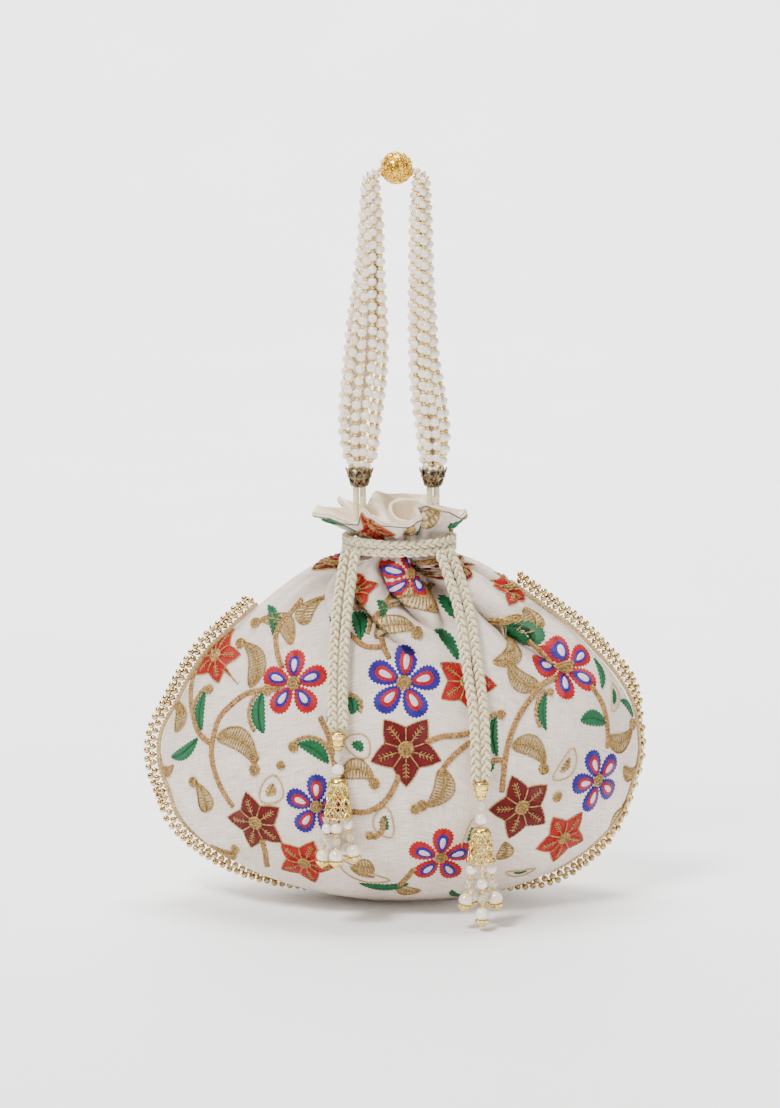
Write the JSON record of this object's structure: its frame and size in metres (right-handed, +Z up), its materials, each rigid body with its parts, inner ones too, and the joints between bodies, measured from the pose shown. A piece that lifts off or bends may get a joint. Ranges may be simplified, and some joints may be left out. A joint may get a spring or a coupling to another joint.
{
  "type": "reticule",
  "caption": "Drawstring pouch of embroidered silk with a beaded rim, a gathered neck and frill, drawstrings ending in bead tassels, and a handle of bead strings joined by a filigree ball.",
  "frame": {"origin": "the underside of the filigree ball at the top of the handle, where a hand, wrist or hook carries the reticule", "axes": "+Z up along the handle, which is the longest extent; -Y towards the viewer of the front, so Y is the shortest extent; +X to the viewer's right"},
  "size_m": [0.235, 0.1176, 0.3471],
  "materials": {
    "embroidered_silk": "raw silk, satin-stitch embroidery",
    "satin_lining": "satin",
    "gold_binding": "metallic braid",
    "antique_beads": "antique gold, polished",
    "ivory_cord": "braided",
    "light_gold": "bright filigree",
    "yellow_gold": "bright filigree",
    "antique_bronze": "antiqued filigree",
    "pearl": "pearl lustre",
    "clear_glass": "faceted"
  },
  "bodies": {
    "root": {"front_panel": "embroidered_silk", "back_panel": "embroidered_silk", "mouth_lining": "satin_lining", "seam_binding": "gold_binding", "rim_beads": "antique_beads", "left_drawstring_loop": "ivory_cord", "right_drawstring_loop": "ivory_cord", "left_tail_outer": "ivory_cord", "left_tail_inner": "ivory_cord", "right_tail_inner": "ivory_cord", "right_tail_outer": "ivory_cord", "left_end_cap": "light_gold", "left_clear_bead": "clear_glass", "left_spacer_pearl": "pearl", "left_bell_cap": "light_gold", "left_drop_1": "pearl", "left_drop_2": "pearl", "left_drop_3": "pearl", "left_drop_4": "pearl", "left_drop_5": "pearl", "right_end_cap": "light_gold", "right_clear_bead": "clear_glass", "right_spacer_pearl": "pearl", "right_bell_cap": "light_gold", "right_drop_1": "pearl", "right_drop_2": "pearl", "right_drop_3": "pearl", "right_drop_4": "pearl", "right_drop_5": "pearl", "handle_ball": "yellow_gold", "handle_strands_left": "pearl", "handle_cap_left": "antique_bronze", "handle_tab_left": "ivory_cord", "handle_strands_right": "pearl", "handle_cap_right": "antique_bronze", "handle_tab_right": "ivory_cord"}
  },
  "joints": []
}
